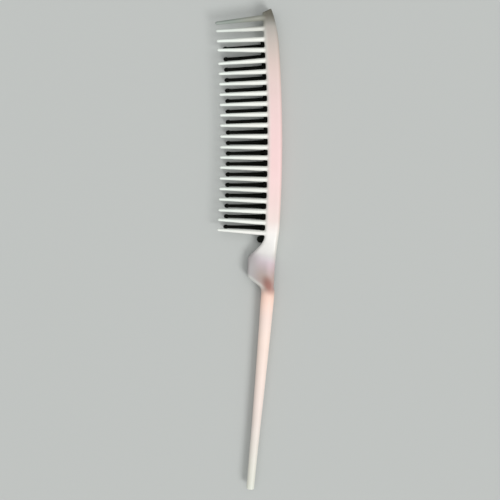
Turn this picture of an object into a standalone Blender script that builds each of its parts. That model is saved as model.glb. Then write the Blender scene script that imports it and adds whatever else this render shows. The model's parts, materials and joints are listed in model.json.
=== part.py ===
# Two-row tail comb. A pale moulded comb has a bowed spine, 21 long front teeth, a scooped thumb rest
# and a long round tail. A black strip with 18 shorter, ball-tipped teeth sits in a channel in the rear
# of the spine, and its teeth stand in the gaps of the front row.
# Metres. The comb lies on its rear face: +Z is the front, +Y the head end, and the teeth point to -X.
# Places are first worked out from the crown of the root line, the arc that the front teeth stand on.

import math

import bmesh
import bpy
from mathutils import Vector

# Root line and spine
root_arc_radius = 0.720
outer_arc_radius = 0.660
spine_width = 0.0070
body_thickness = 0.0090
crown_below_middle_tooth = 0.00715
head_end_margin = 0.00255
neck_end_margin = 0.00145
head_end_rise = 0.0020
head_corner_inset = 0.0038
head_corner_drop = 0.0181
head_corner_shares = (0.20, 0.36)

# Front row
front_tooth_count = 21
tooth_pitch = 0.00516
front_tooth_reach = 0.02285
front_tooth_root_thickness = 0.00228
front_tooth_tip_thickness = 0.00132
front_tooth_root_depth = 0.0026
front_tooth_axis_height = 0.0071
front_tooth_length_shares = (0.0, 0.15, 0.55, 0.96)
front_tooth_taper_shares = (0.0, 0.02, 0.49, 1.0)
bent_front_teeth = {
    1: math.radians(2.0),
    2: math.radians(-1.2),
    3: math.radians(-1.6),
    4: math.radians(-3.3),
    5: math.radians(1.0),
    15: math.radians(-0.5),
    19: math.radians(0.9),
    20: math.radians(-0.5),
    21: math.radians(-0.5),
}

# Rear row
first_rear_gap = 3
rear_tooth_reach = 0.0202
rear_tooth_root_thickness = 0.0022
rear_tooth_neck_thickness = 0.0016
rear_tooth_ball_diameter = 0.0021
rear_tooth_length_shares = (0.0, 0.35, 0.75)
rear_tooth_taper_shares = (0.0, 0.5, 0.9)

# Black strip and its channel
strip_height = 0.0040
strip_proud = 0.0018
strip_inset = 0.0044
strip_head_margin = 0.0024
strip_neck_margin = 0.00705
strip_nub_proud = 0.0036
strip_nub_radius = 0.0016
strip_corner_radius = 0.0006
nub_start_angle = math.radians(80)
nub_end_angle = math.radians(270)

# Thumb rest, between the neck and the tail. Its diagonal edge, its waist and its end inside the tail's
# shoulder are shares of the tail's diameter, sideways from and below the tail's top. The outer side
# draws in to the waist from a little above the neck.
neck_curve_drop = 0.0105
neck_pull_shares = (0.05, 0.46, 0.19)
thumb_rest_width = 0.0140
thumb_rest_thickness = 0.0052
thumb_edge_length = 0.0090
thumb_edge_lean = 0.0004
thumb_corner_radius = 0.0008
diagonal_end_shares = (-0.60, 0.38)
plate_end_shares = (0.20, 0.78)
waist_shares = (0.355, -0.02)
waist_curve_rise = 0.0024
waist_pull_shares = (0.042, 0.28, 0.32)
front_slope_length = 0.0110
rear_slope_start = 0.0060
rear_slope_length = 0.0100

# Scoop in the front of the thumb rest
scoop_centre_drop = 0.0145
scoop_centre_inset = 0.0063
scoop_half_width = 0.0087
scoop_half_length = 0.0135
scoop_depth = 0.0016
scoop_half_height = 0.0060

# Tail
tail_start_drop = 0.0226
tail_start_outward = 0.0008
tail_length = 0.0994
tail_lean = math.radians(5.24)
tail_shoulder_length = 0.0040
tail_root_diameter = 0.0066
tail_middle_diameter = 0.0044
tail_middle_share = 0.66
tail_tip_diameter = 0.0037
tail_tip_radius = 0.0009

# Steps of the curves and sides of the round parts
root_line_steps = 10
outer_arc_steps = 10
head_corner_steps = 7
neck_curve_steps = 7
waist_curve_steps = 8
corner_steps = 3
slope_steps = 6
strip_steps = 12
nub_steps = 6
edge_segments = 3
front_tooth_sides = 10
front_tooth_tip_rings = 3
rear_tooth_sides = 8
rear_tooth_ball_rings = 4
tail_sides = 16
tail_shoulder_rings = 4
tail_tip_rings = 3
scoop_sides = 24
scoop_rings = 12

# Edges and fits
outer_edge_radius = 0.0018
thumb_edge_radius = 0.0010
root_edge_radius = 0.0005
rear_edge_radius = 0.0006
fit_clearance = 0.0003
cut_overrun = 0.0020
weld_distance = 0.000002
flat_angle = math.radians(0.05)
crease_angle = math.radians(35)
corner_pull_share = 0.55

# Finish: linear colours
pale_body_colour = (0.90, 0.76, 0.71, 1.0)
pale_tooth_colour = (0.93, 0.94, 0.89, 1.0)
black_colour = (0.008, 0.008, 0.006, 1.0)
pale_roughness = 0.38
black_roughness = 0.34


def clear_scene():
    for item in list(bpy.data.objects):
        bpy.data.objects.remove(item, do_unlink=True)


def new_collection(name):
    collection = bpy.data.collections.new(name)
    bpy.context.scene.collection.children.link(collection)
    return collection


def plastic(name, colour, roughness):
    material = bpy.data.materials.new(name)
    material.use_nodes = True
    shader = material.node_tree.nodes["Principled BSDF"]
    shader.inputs["Base Color"].default_value = colour
    shader.inputs["Roughness"].default_value = roughness
    shader.inputs["Metallic"].default_value = 0.0
    return material


def along_root(distance, outward):
    """Point at a distance along the root line from its crown, moved outward from the teeth."""
    angle = distance / root_arc_radius
    radius = root_arc_radius + outward
    return Vector((radius * math.cos(angle) - root_arc_radius, radius * math.sin(angle)))


def along_outer(y):
    """Point of the spine's outer arc at a height y."""
    return Vector((spine_width - outer_arc_radius + math.sqrt(outer_arc_radius ** 2 - y ** 2), y))


def cubic(start, start_pull, end_pull, end, count):
    """Points of a cubic curve after its start, up to and with its end."""
    points = []
    for step in range(1, count + 1):
        t = step / count
        s = 1 - t
        near_start = s ** 3 * start + 3 * s ** 2 * t * start_pull
        near_end = 3 * s * t ** 2 * end_pull + t ** 3 * end
        points.append(near_start + near_end)
    return points


def corner_curve(start, corner, end, count):
    """Points of an arc-like curve after its start, pulled towards a corner."""
    start_pull = start.lerp(corner, corner_pull_share)
    end_pull = end.lerp(corner, corner_pull_share)
    return cubic(start, start_pull, end_pull, end, count)


def rounded_corner(before, corner, after, radius, count):
    """Points of a corner rounded off at a distance from it on both sides."""
    start = corner + (before - corner).normalized() * radius
    end = corner + (after - corner).normalized() * radius
    return [start] + corner_curve(start, corner, end, count)


def with_radii(points, first_radius, last_radius):
    """Pairs of the points of a curve with edge radii that change evenly along it."""
    pairs = []
    for step, point in enumerate(points, start=1):
        pairs.append((point, first_radius + (last_radius - first_radius) * step / len(points)))
    return pairs


def evaluated_mesh(item):
    """A mesh of an object with its modifiers, after which the object is removed."""
    bpy.context.view_layer.update()
    graph = bpy.context.evaluated_depsgraph_get()
    mesh = bpy.data.meshes.new_from_object(item.evaluated_get(graph))
    mesh.name = item.name
    bpy.data.objects.remove(item, do_unlink=True)
    return mesh


def flat_solid_mesh(name, outline, low, high):
    """A solid with upright walls over a closed outline, its flat caps left as whole faces."""
    curve = bpy.data.curves.new(name, "CURVE")
    curve.dimensions = "2D"
    curve.fill_mode = "BOTH"
    curve.extrude = (high - low) / 2
    spline = curve.splines.new("POLY")
    spline.points.add(len(outline) - 1)
    for point, place in zip(spline.points, outline):
        point.co = (place.x, place.y, 0, 1)
    spline.use_cyclic_u = True
    source = bpy.data.objects.new(name, curve)
    bpy.context.scene.collection.objects.link(source)
    mesh = evaluated_mesh(source)
    shape = bmesh.new()
    shape.from_mesh(mesh)
    bmesh.ops.remove_doubles(shape, verts=shape.verts, dist=weld_distance)
    bmesh.ops.translate(shape, verts=shape.verts, vec=(0, 0, (high + low) / 2))
    bmesh.ops.dissolve_limit(shape, angle_limit=flat_angle, verts=shape.verts, edges=shape.edges)
    bmesh.ops.recalc_face_normals(shape, faces=shape.faces)
    shape.to_mesh(mesh)
    shape.free()
    return mesh


def turned_mesh(name, profile, sides, squash):
    """A solid turned about local Z from (radius, height) points, top first, squashed along local X."""
    mesh = bpy.data.meshes.new(name)
    shape = bmesh.new()
    previous = None
    for radius, height in profile:
        point = shape.verts.new((radius, 0, height))
        if previous:
            shape.edges.new((previous, point))
        previous = point
    shape.to_mesh(mesh)
    shape.free()
    source = bpy.data.objects.new(name, mesh)
    bpy.context.scene.collection.objects.link(source)
    screw = source.modifiers.new("Turn", "SCREW")
    screw.axis = "Z"
    screw.steps = sides
    screw.render_steps = sides
    screw.use_merge_vertices = True
    screw.merge_threshold = weld_distance
    turned = evaluated_mesh(source)
    shape = bmesh.new()
    shape.from_mesh(turned)
    bmesh.ops.remove_doubles(shape, verts=shape.verts, dist=weld_distance)
    bmesh.ops.scale(shape, verts=shape.verts, vec=(squash, 1, 1))
    bmesh.ops.recalc_face_normals(shape, faces=shape.faces)
    shape.to_mesh(turned)
    shape.free()
    return turned


def arc_profile(centre_height, radius, start_angle, end_angle, count):
    """Profile points on a circle about the turning axis, angles measured from the axis."""
    points = []
    for step in range(count + 1):
        angle = start_angle + (end_angle - start_angle) * step / count
        points.append((radius * math.sin(angle), centre_height + radius * math.cos(angle)))
    return points


def finish(name, mesh, material, collection, frame):
    item = bpy.data.objects.new(name, mesh)
    if not mesh.materials:
        mesh.materials.append(material)
    mesh.shade_smooth()
    mesh.set_sharp_from_angle(angle=crease_angle)
    collection.objects.link(item)
    item.parent = frame
    return item


def cutter(name, mesh, collection, frame):
    item = bpy.data.objects.new(name, mesh)
    collection.objects.link(item)
    item.parent = frame
    item.hide_render = True
    item.display_type = "WIRE"
    return item


def add_boolean(item, tool, operation):
    modifier = item.modifiers.new(tool.name, "BOOLEAN")
    modifier.operation = operation
    modifier.solver = "EXACT"
    modifier.object = tool


def front_tooth_place(number):
    """Distance of a front tooth along the root line, number 1 at the head end."""
    middle = (front_tooth_count + 1) / 2
    return crown_below_middle_tooth + (middle - number) * tooth_pitch


def rear_tooth_place(gap):
    """Distance of the rear tooth in a gap, midway between two front teeth."""
    return (front_tooth_place(gap) + front_tooth_place(gap + 1)) / 2


head_root_distance = front_tooth_place(1) + head_end_margin
neck_root_distance = front_tooth_place(front_tooth_count) - neck_end_margin
neck_point = along_root(neck_root_distance, 0)
tail_start = Vector((tail_start_outward, neck_point.y - tail_start_drop))
tail_axis = Vector((-math.sin(tail_lean), -math.cos(tail_lean)))


def below_tail_top(shares):
    """Place sideways from and below the tail's top, in shares of the tail's diameter."""
    sideways, down = shares
    return tail_start + Vector((sideways, -down)) * tail_root_diameter


def body_outline():
    """The spine and thumb rest in plan, as (point, front edge radius) pairs."""
    pairs = []
    root_length = head_root_distance - neck_root_distance
    for step in range(root_line_steps + 1):
        distance = head_root_distance - root_length * step / root_line_steps
        pairs.append((along_root(distance, 0), root_edge_radius))
    thumb_right = along_outer(neck_point.y - neck_curve_drop)
    thumb_top = Vector((thumb_right.x - thumb_rest_width, thumb_right.y))
    thumb_low = thumb_top + Vector((-thumb_edge_lean, -thumb_edge_length))
    side_share, drop_share, rise_share = neck_pull_shares
    start_pull = neck_point + Vector((-side_share, -drop_share)) * neck_curve_drop
    end_pull = thumb_top + Vector((0, rise_share)) * neck_curve_drop
    neck_curve = cubic(neck_point, start_pull, end_pull, thumb_top, neck_curve_steps)
    pairs += with_radii(neck_curve, root_edge_radius, thumb_edge_radius)
    diagonal_end = below_tail_top(diagonal_end_shares)
    for point in rounded_corner(thumb_top, thumb_low, diagonal_end, thumb_corner_radius, corner_steps):
        pairs.append((point, thumb_edge_radius))
    diagonal_start = pairs[-1][0]
    for step in range(1, corner_steps + 1):
        pairs.append((diagonal_start.lerp(diagonal_end, step / corner_steps), thumb_edge_radius))
    end_half, end_drop = plate_end_shares
    pairs.append((below_tail_top((-end_half, end_drop)), thumb_edge_radius))
    pairs.append((below_tail_top((end_half, end_drop)), thumb_edge_radius))
    waist = below_tail_top(waist_shares)
    pairs.append((waist, thumb_edge_radius))
    waist_top = along_outer(neck_point.y + waist_curve_rise)
    side_share, drop_share, rise_share = waist_pull_shares
    fall = waist_top.y - waist.y
    start_pull = waist + Vector((0, rise_share)) * fall
    end_pull = waist_top + Vector((-side_share, -drop_share)) * fall
    waist_curve = cubic(waist, start_pull, end_pull, waist_top, waist_curve_steps)
    pairs += with_radii(waist_curve, thumb_edge_radius, outer_edge_radius)
    head_root = along_root(head_root_distance, 0)
    corner_low = along_outer(head_root.y + head_end_rise - head_corner_drop)
    for step in range(1, outer_arc_steps + 1):
        y = waist_top.y + (corner_low.y - waist_top.y) * step / outer_arc_steps
        pairs.append((along_outer(y), outer_edge_radius))
    peak = Vector((corner_low.x - head_corner_inset, head_root.y + head_end_rise))
    side_share, drop_share = head_corner_shares
    head_corner = Vector((
        corner_low.x - head_corner_inset * side_share,
        peak.y - head_corner_drop * drop_share,
    ))
    for point in corner_curve(corner_low, head_corner, peak, head_corner_steps):
        pairs.append((point, outer_edge_radius))
    return pairs


def body_blank():
    """The bevelled plate of spine and thumb rest, sloped at the neck to the thumb rest's thickness."""
    pairs = body_outline()
    mesh = flat_solid_mesh("comb_body", [point for point, radius in pairs], 0, body_thickness)
    shape = bmesh.new()
    shape.from_mesh(mesh)
    weights = shape.edges.layers.float.new("bevel_weight_edge")
    middles = []
    for (point, radius), (following, next_radius) in zip(pairs, pairs[1:] + pairs[:1]):
        middles.append(((point + following) / 2, max(radius, next_radius)))
    for edge in shape.edges:
        heights = [corner.co.z for corner in edge.verts]
        if abs(heights[0] - heights[1]) > weld_distance:
            continue
        centre = ((edge.verts[0].co + edge.verts[1].co) / 2).to_2d()
        nearest, radius = min(middles, key=lambda pair: (pair[0] - centre).length)
        if heights[0] < body_thickness / 2:
            radius = rear_edge_radius
        edge[weights] = radius / outer_edge_radius
    shape.to_mesh(mesh)
    shape.free()
    blank = bpy.data.objects.new("comb_body", mesh)
    bpy.context.scene.collection.objects.link(blank)
    bevel = blank.modifiers.new("Edges", "BEVEL")
    bevel.limit_method = "WEIGHT"
    bevel.width = outer_edge_radius
    bevel.segments = edge_segments
    return sloped_at_neck(evaluated_mesh(blank))


def eased(drop, start, length):
    """0 before a slope, 1 after it, and a smooth step between."""
    t = min(max((drop - start) / length, 0.0), 1.0)
    return t * t * (3 - 2 * t)


def sloped_at_neck(mesh):
    """The plate thinned from both faces at the neck, cut across at each step of the two slopes."""
    inset = (body_thickness - thumb_rest_thickness) / 2
    shape = bmesh.new()
    shape.from_mesh(mesh)
    drops = []
    for step in range(slope_steps + 1):
        drops.append(front_slope_length * step / slope_steps)
        drops.append(rear_slope_start + rear_slope_length * step / slope_steps)
    for drop in sorted(drops):
        bmesh.ops.bisect_plane(
            shape,
            geom=shape.verts[:] + shape.edges[:] + shape.faces[:],
            plane_co=(0, neck_point.y - drop, 0),
            plane_no=(0, 1, 0),
            dist=weld_distance,
        )
    for corner in shape.verts:
        drop = neck_point.y - corner.co.y
        share = corner.co.z / body_thickness
        front = body_thickness - inset * eased(drop, 0, front_slope_length)
        rear = inset * eased(drop, rear_slope_start, rear_slope_length)
        corner.co.z = rear + (front - rear) * share
    bmesh.ops.triangulate(shape, faces=shape.faces)
    shape.to_mesh(mesh)
    shape.free()
    return mesh


def tail_mesh():
    """The round tail, turned about its axis, its shoulder at the top and a rounded tip."""
    root = tail_root_diameter / 2
    tip_flat = tail_tip_diameter / 2 - tail_tip_radius
    stretch = tail_shoulder_length / root
    shoulder_foot = tail_length - tail_shoulder_length
    quarter = math.pi / 2
    profile = []
    for radius, height in arc_profile(0, root, 0, quarter, tail_shoulder_rings):
        profile.append((radius, shoulder_foot + height * stretch))
    profile.append((tail_middle_diameter / 2, tail_length * (1 - tail_middle_share)))
    for radius, height in arc_profile(tail_tip_radius, tail_tip_radius, quarter, math.pi, tail_tip_rings):
        profile.append((tip_flat + radius, height))
    return turned_mesh("tail", profile + [(0, 0)], tail_sides, 1)


def scoop_mesh():
    """The ball, stretched along the comb, that hollows the thumb rest."""
    mesh = bpy.data.meshes.new("scoop")
    shape = bmesh.new()
    bmesh.ops.create_uvsphere(shape, u_segments=scoop_sides, v_segments=scoop_rings, radius=1)
    bmesh.ops.scale(shape, verts=shape.verts, vec=(scoop_half_width, scoop_half_length, scoop_half_height))
    shape.to_mesh(mesh)
    shape.free()
    return mesh


def strip_outline(growth):
    """The strip's backbone in plan: a band along the root line that ends in a round nub at the neck."""
    head = rear_tooth_place(first_rear_gap) + strip_head_margin + growth
    neck = rear_tooth_place(front_tooth_count - 1) - strip_neck_margin - growth
    tooth_side = -strip_proud - growth
    outer_side = strip_inset + growth
    nub_radius = strip_nub_radius + growth
    nub = along_root(neck + nub_radius, nub_radius - strip_nub_proud - growth)
    along = [head + (neck - head) * step / strip_steps for step in range(strip_steps + 1)]
    inner = [along_root(distance, tooth_side) for distance in along[:-1]]
    outer = [along_root(distance, outer_side) for distance in reversed(along)]
    radius = strip_corner_radius
    points = rounded_corner(outer[-1], inner[0], inner[1], radius, corner_steps) + inner[1:]
    for step in range(nub_steps + 1):
        angle = nub_start_angle + (nub_end_angle - nub_start_angle) * step / nub_steps
        points.append(nub + Vector((math.cos(angle), math.sin(angle))) * nub_radius)
    points += rounded_corner(nub, outer[0], outer[1], radius, corner_steps) + outer[1:-1]
    return points + rounded_corner(outer[-2], outer[-1], inner[0], radius, corner_steps)


def front_tooth_mesh():
    """A front tooth standing on its root, an oval that tapers to a round tip."""
    root = front_tooth_root_thickness / 2
    tip = front_tooth_tip_thickness / 2
    length = front_tooth_reach - fit_clearance
    profile = arc_profile(length - tip, tip, 0, math.pi / 2, front_tooth_tip_rings)[:-1]
    shares = zip(reversed(front_tooth_length_shares), reversed(front_tooth_taper_shares))
    profile += [(root + (tip - root) * taper, length * share) for share, taper in shares]
    squash = front_tooth_root_depth / front_tooth_root_thickness
    return turned_mesh("front_tooth", profile + [(0, 0)], front_tooth_sides, squash)


def rear_tooth_mesh():
    """A rear tooth standing on its root, round, with a ball at its tip."""
    root = rear_tooth_root_thickness / 2
    neck = rear_tooth_neck_thickness / 2
    ball = rear_tooth_ball_diameter / 2
    length = rear_tooth_reach - strip_proud - fit_clearance
    neck_angle = math.pi - math.asin(neck / ball)
    profile = arc_profile(length - ball, ball, 0, neck_angle, rear_tooth_ball_rings)
    shares = zip(reversed(rear_tooth_length_shares), reversed(rear_tooth_taper_shares))
    profile += [(root + (neck - root) * taper, length * share) for share, taper in shares]
    return turned_mesh("rear_tooth", profile + [(0, 0)], rear_tooth_sides, 1)


def stand_tooth(item, distance, outward, height, lean):
    """Sets a tooth on a place along the root line, square to it, its length towards the arc's centre."""
    place = along_root(distance, outward)
    angle = distance / root_arc_radius + lean
    item.location = (place.x, place.y, height)
    item.rotation_euler = (0, -math.pi / 2, angle)


def footprint_centre(items):
    """Middle of the box round all the parts, seen from above."""
    bpy.context.view_layer.update()
    graph = bpy.context.evaluated_depsgraph_get()
    xs = []
    ys = []
    for item in items:
        solid = item.evaluated_get(graph)
        for corner in solid.data.vertices:
            place = solid.matrix_world @ corner.co
            xs.append(place.x)
            ys.append(place.y)
    return Vector(((min(xs) + max(xs)) / 2, (min(ys) + max(ys)) / 2, 0))


def build_body(parts, cutters, frame, material):
    body = finish("comb_body", body_blank(), material, parts, frame)
    scoop = cutter("scoop", scoop_mesh(), cutters, frame)
    thumb_right = along_outer(neck_point.y - neck_curve_drop)
    thumb_surface = (body_thickness + thumb_rest_thickness) / 2
    scoop.location = (
        thumb_right.x - thumb_rest_width + scoop_centre_inset,
        neck_point.y - scoop_centre_drop,
        thumb_surface - scoop_depth + scoop_half_height,
    )
    channel_mesh = flat_solid_mesh("channel", strip_outline(fit_clearance), -cut_overrun,
                                   strip_height + fit_clearance)
    channel = cutter("channel", channel_mesh, cutters, frame)
    tail = cutter("tail", tail_mesh(), cutters, frame)
    foot = tail_start + tail_axis * tail_length
    tail.location = (foot.x, foot.y, body_thickness / 2)
    tail.rotation_euler = (-math.pi / 2, 0, -tail_lean)
    add_boolean(body, scoop, "DIFFERENCE")
    add_boolean(body, channel, "DIFFERENCE")
    add_boolean(body, tail, "UNION")
    return [body]


def build_front_row(parts, frame, material):
    mesh = front_tooth_mesh()
    teeth = []
    for number in range(1, front_tooth_count + 1):
        tooth = finish(f"front_tooth_{number:02d}", mesh, material, parts, frame)
        stand_tooth(tooth, front_tooth_place(number), -fit_clearance, front_tooth_axis_height,
                    bent_front_teeth.get(number, 0))
        teeth.append(tooth)
    return teeth


def build_rear_row(parts, frame, material):
    strip_mesh = flat_solid_mesh("tooth_strip", strip_outline(0), 0, strip_height)
    items = [finish("tooth_strip", strip_mesh, material, parts, frame)]
    mesh = rear_tooth_mesh()
    for number, gap in enumerate(range(first_rear_gap, front_tooth_count), start=1):
        tooth = finish(f"rear_tooth_{number:02d}", mesh, material, parts, frame)
        stand_tooth(tooth, rear_tooth_place(gap), -strip_proud - fit_clearance, strip_height / 2, 0)
        items.append(tooth)
    return items


def main():
    clear_scene()
    parts = new_collection("two_row_tail_comb")
    cutters = new_collection("cutters")
    frame = bpy.data.objects.new("comb_frame", None)
    parts.objects.link(frame)
    pale_body = plastic("pale_body_plastic", pale_body_colour, pale_roughness)
    pale_tooth = plastic("pale_tooth_plastic", pale_tooth_colour, pale_roughness)
    black = plastic("black_plastic", black_colour, black_roughness)
    items = build_body(parts, cutters, frame, pale_body)
    items += build_front_row(parts, frame, pale_tooth)
    items += build_rear_row(parts, frame, black)
    frame.location = -footprint_centre(items)


main()
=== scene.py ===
import json
import math

import bmesh
import bpy
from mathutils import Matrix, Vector

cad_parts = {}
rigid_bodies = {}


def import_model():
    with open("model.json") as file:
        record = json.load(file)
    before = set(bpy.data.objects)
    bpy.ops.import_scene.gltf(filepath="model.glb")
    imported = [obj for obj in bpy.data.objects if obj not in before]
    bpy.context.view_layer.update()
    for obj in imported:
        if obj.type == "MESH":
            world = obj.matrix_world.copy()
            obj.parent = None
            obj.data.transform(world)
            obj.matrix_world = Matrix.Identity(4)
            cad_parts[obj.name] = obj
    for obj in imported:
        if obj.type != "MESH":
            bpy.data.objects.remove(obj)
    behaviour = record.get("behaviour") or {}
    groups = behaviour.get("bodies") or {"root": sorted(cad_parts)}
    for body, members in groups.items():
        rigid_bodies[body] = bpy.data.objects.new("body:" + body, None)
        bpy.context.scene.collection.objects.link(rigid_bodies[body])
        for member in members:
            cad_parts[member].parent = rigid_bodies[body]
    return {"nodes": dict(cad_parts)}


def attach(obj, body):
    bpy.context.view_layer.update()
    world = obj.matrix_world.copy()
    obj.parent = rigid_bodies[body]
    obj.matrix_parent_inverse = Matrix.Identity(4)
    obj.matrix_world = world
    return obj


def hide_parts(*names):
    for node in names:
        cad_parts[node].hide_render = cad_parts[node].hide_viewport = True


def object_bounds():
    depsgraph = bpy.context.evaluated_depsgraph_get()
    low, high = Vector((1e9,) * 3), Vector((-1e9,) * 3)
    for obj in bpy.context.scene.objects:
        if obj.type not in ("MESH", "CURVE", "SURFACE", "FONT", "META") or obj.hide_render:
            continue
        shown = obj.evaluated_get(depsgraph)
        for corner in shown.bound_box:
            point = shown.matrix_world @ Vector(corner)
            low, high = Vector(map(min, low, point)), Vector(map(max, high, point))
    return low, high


for leftOver in list(bpy.data.objects):
    bpy.data.objects.remove(leftOver, do_unlink=True)

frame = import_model()
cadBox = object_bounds()
print("frame loaded:", len(frame["nodes"]), "nodes")

# Everything is placed from the crown of the root line, the arc that the front teeth stand on.
layout = {
    "crown": Vector((0.0090461, 0.0521571, 0)),
    "rootArc": 0.720,            # radius of the root line
    "toothPitch": 0.00516,
    "toothCount": 21,
    "crownBelowMiddle": 0.00715,  # from the crown up to the middle tooth
}

samePlace = 2e-5                 # points this near to each other count as one
noMove = 1e-6                    # shifts and turns below this are left out
facing = 0.9                     # how squarely a face has to look along a direction to be chosen
shadingAngle = 40                # degrees: edges sharper than this stay crisp
softenFactor = 0.5               # how far one round of smoothing goes


def pick(piece):
    bpy.ops.object.select_all(action="DESELECT")
    piece.select_set(True)
    bpy.context.view_layer.objects.active = piece


def toEdit(piece):
    pick(piece)
    bpy.ops.object.mode_set(mode="EDIT")


def toObject():
    bpy.ops.object.mode_set(mode="OBJECT")


def choose(piece, kind, wanted):
    # selects the corners, edges or faces that pass the test
    bpy.ops.mesh.select_mode(type=kind)
    bpy.ops.mesh.select_all(action="DESELECT")
    shape = bmesh.from_edit_mesh(piece.data)
    parts = {"VERT": shape.verts, "EDGE": shape.edges, "FACE": shape.faces}[kind]
    for part in parts:
        if wanted(part):
            part.select_set(True)
    shape.select_flush_mode()
    bmesh.update_edit_mesh(piece.data)


def named(name):
    piece = bpy.context.object
    piece.name = name
    piece.data.name = name
    return piece


def applyPlace(piece):
    pick(piece)
    bpy.ops.object.transform_apply(location=True, rotation=True, scale=True)


def applyModifiers(piece):
    pick(piece)
    for modifier in list(piece.modifiers):
        bpy.ops.object.modifier_apply(modifier=modifier.name)


def pointOut(piece):
    toEdit(piece)
    bpy.ops.mesh.select_all(action="SELECT")
    bpy.ops.mesh.normals_make_consistent(inside=False)
    toObject()


def joined(pieces, name):
    bpy.ops.object.select_all(action="DESELECT")
    for piece in pieces:
        piece.select_set(True)
    bpy.context.view_layer.objects.active = pieces[0]
    bpy.ops.object.join()
    return named(name)


def combine(piece, tool, operation):
    # adds or takes away a solid
    step = piece.modifiers.new("Combine", "BOOLEAN")
    step.operation = operation
    step.solver = "EXACT"
    step.object = tool
    applyModifiers(piece)
    bpy.data.objects.remove(tool, do_unlink=True)


def smoothShading(piece):
    pick(piece)
    bpy.ops.object.shade_smooth_by_angle(angle=math.radians(shadingAngle))


def softened(piece, rounds, group=""):
    # an even smoothing, of the whole piece or as far as a vertex group says
    soften = piece.modifiers.new("Soften", "SMOOTH")
    soften.factor = softenFactor
    soften.iterations = rounds
    soften.vertex_group = group


def weighted(piece, name, weightAt):
    # a vertex group whose weights, in tenths, come from each corner's place
    levels = {}
    for v in piece.data.vertices:
        levels.setdefault(round(weightAt(v.co), 1), []).append(v.index)
    group = piece.vertex_groups.new(name=name)
    for level, indices in levels.items():
        group.add(indices, level, "REPLACE")


def ownCopy(piece):
    copy = piece.copy()
    copy.data = piece.data.copy()
    bpy.context.scene.collection.objects.link(copy)
    return copy


def onArc(distance, outward):
    # a place along the root line, moved outward from the teeth
    angle = distance / layout["rootArc"]
    radius = layout["rootArc"] + outward
    fromCrown = Vector((radius * math.cos(angle) - layout["rootArc"], radius * math.sin(angle), 0))
    return layout["crown"] + fromCrown


def toothPlace(number):
    middle = (layout["toothCount"] + 1) / 2
    return layout["crownBelowMiddle"] + (middle - number) * layout["toothPitch"]


def arcX(y, outward, radius):
    # x on an arc whose crown is level with the root line's
    fromCrown = y - layout["crown"].y
    return layout["crown"].x + outward - radius + math.sqrt(radius ** 2 - fromCrown ** 2)


def rootX(y):
    return arcX(y, 0, layout["rootArc"])


def cubicPoints(a, b, c, d, count):
    # a smooth curve from a to d, pulled towards b and c, without its first point
    points = []
    for step in range(1, count + 1):
        t = step / count
        s = 1 - t
        points.append(s ** 3 * a + 3 * s * s * t * b + 3 * s * t * t * c + t ** 3 * d)
    return points


def roundedCorner(start, corner, end, steps):
    # an almost circular curve from one side of a corner to the other
    pull = 0.55
    return cubicPoints(start, start.lerp(corner, pull), end.lerp(corner, pull), end, steps)


def straightPoints(a, b, count):
    return [a.lerp(b, step / count) for step in range(1, count + 1)]


def eased(t):
    # 0 below 0, 1 above 1, and a smooth step between
    t = min(max(t, 0.0), 1.0)
    return t * t * (3 - 2 * t)


def alongSide(side, y):
    # the point at height y on a side drawn from top to bottom
    for above, below in zip(side, side[1:]):
        if below.y <= y <= above.y and below.y < above.y:
            return above.lerp(below, (above.y - y) / (above.y - below.y))
    return side[-1] if y < side[-1].y else side[0]


def stripOfRows(name, rows):
    # a flat strip: the first two rows are a stretched plane, and each later one is extruded
    (left, right), (nextLeft, nextRight) = rows[0], rows[1]
    bpy.ops.object.select_all(action="DESELECT")
    bpy.ops.mesh.primitive_plane_add(size=2, location=(0, 0, 0))
    piece = named(name)
    toEdit(piece)
    corners = {(-1, 1): left, (1, 1): right, (-1, -1): nextLeft, (1, -1): nextRight}
    for (sideX, sideY), place in corners.items():
        choose(piece, "VERT", lambda v: (v.co.xy - Vector((sideX, sideY))).length < samePlace)
        bpy.ops.transform.translate(value=(place.x - sideX, place.y - sideY, 0))
    middle = (nextLeft + nextRight) / 2
    span = nextRight - nextLeft

    def onRow(v):
        return min((v.co - nextLeft).length, (v.co - nextRight).length) < samePlace

    choose(piece, "EDGE", lambda e: all(onRow(v) for v in e.verts))
    for rowLeft, rowRight in rows[2:]:
        newMiddle = (rowLeft + rowRight) / 2
        newSpan = rowRight - rowLeft
        bpy.ops.mesh.extrude_region_move(TRANSFORM_OT_translate={"value": newMiddle - middle})
        ratio = newSpan.length / span.length
        bpy.ops.transform.resize(value=(ratio, ratio, 1), center_override=newMiddle)
        turn = math.atan2(newSpan.y, newSpan.x) - math.atan2(span.y, span.x)
        if abs(turn) > noMove:
            bpy.ops.transform.rotate(value=-turn, orient_axis="Z", center_override=newMiddle)
        middle, span = newMiddle, newSpan
    toObject()
    return piece


def thickened(piece, low, high):
    toEdit(piece)
    bpy.ops.mesh.select_all(action="SELECT")
    bpy.ops.transform.translate(value=(0, 0, low))
    bpy.ops.mesh.extrude_region_move(TRANSFORM_OT_translate={"value": (0, 0, high - low)})
    toObject()
    pointOut(piece)


# the spine of the pale comb
spine = {
    "width": 0.0070,             # from the root line to the outer side
    "outerArc": 0.660,           # radius of the outer side
    "thickness": 0.0090,
    "headMargin": 0.00255,       # beyond the first tooth, and beyond the last one
    "neckMargin": 0.00145,
    "headRise": 0.0020,          # the peak of the head end, and the long curve from it down the side
    "headCornerInset": 0.0038,
    "headCornerDrop": 0.0181,
    "headCornerShares": (0.20, 0.36),
    "headCornerSteps": 12,
    "rows": 36,
    "headSlope": 0.0009,         # how far the front face falls away at the head end
    "headSlopeLength": 0.0150,
    "outerEdge": 0.0018,         # radii of the rounded edges
    "rootEdge": 0.0014,
    "headEdge": 0.0008,
    "rearEdge": 0.0006,
    "edgeSegments": 5,
    "rimAngle": 40,              # degrees: a rim is at least this sharp before it is rounded
}

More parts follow.
